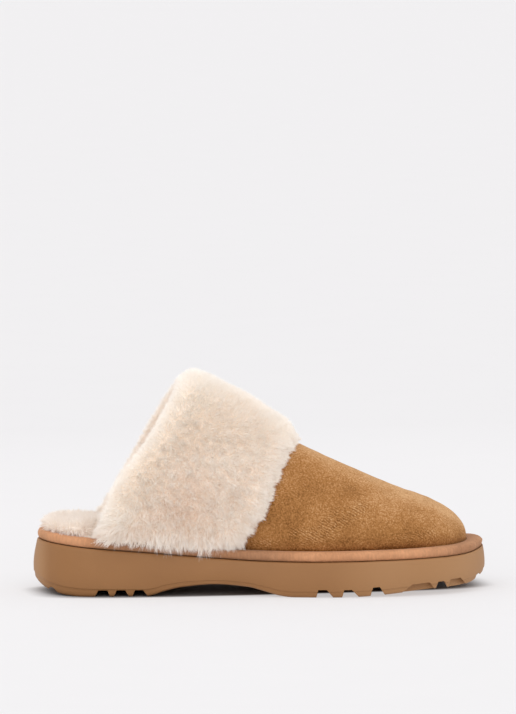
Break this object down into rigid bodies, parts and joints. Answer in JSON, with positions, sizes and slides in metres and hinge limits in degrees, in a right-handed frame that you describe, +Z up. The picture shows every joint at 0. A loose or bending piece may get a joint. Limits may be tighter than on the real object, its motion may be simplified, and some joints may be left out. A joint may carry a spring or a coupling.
{
  "type": "sheepskin slipper",
  "caption": "Backless suede slipper with a deep turned-down fleece cuff, fleece footbed, suede rand and a chunky moulded lug sole; right foot.",
  "frame": {"origin": "on the floor under the middle of the sole's box", "axes": "+X from heel to toe, +Y to the inner (medial) side, +Z up"},
  "size_m": [0.27, 0.1054, 0.1324],
  "materials": {
    "moulded_sole_rubber": "matte moulded, fine grain",
    "rand_suede": "wrapped suede, pinkish tan",
    "footbed_fleece": "deep cream fleece",
    "chestnut_suede": "brushed chestnut suede",
    "cuff_fur": "deep cream fur"
  },
  "bodies": {
    "root": {"outsole": "moulded_sole_rubber", "rand": "rand_suede", "insole": "footbed_fleece", "upper": "chestnut_suede", "fur_cuff": "cuff_fur"}
  },
  "joints": []
}
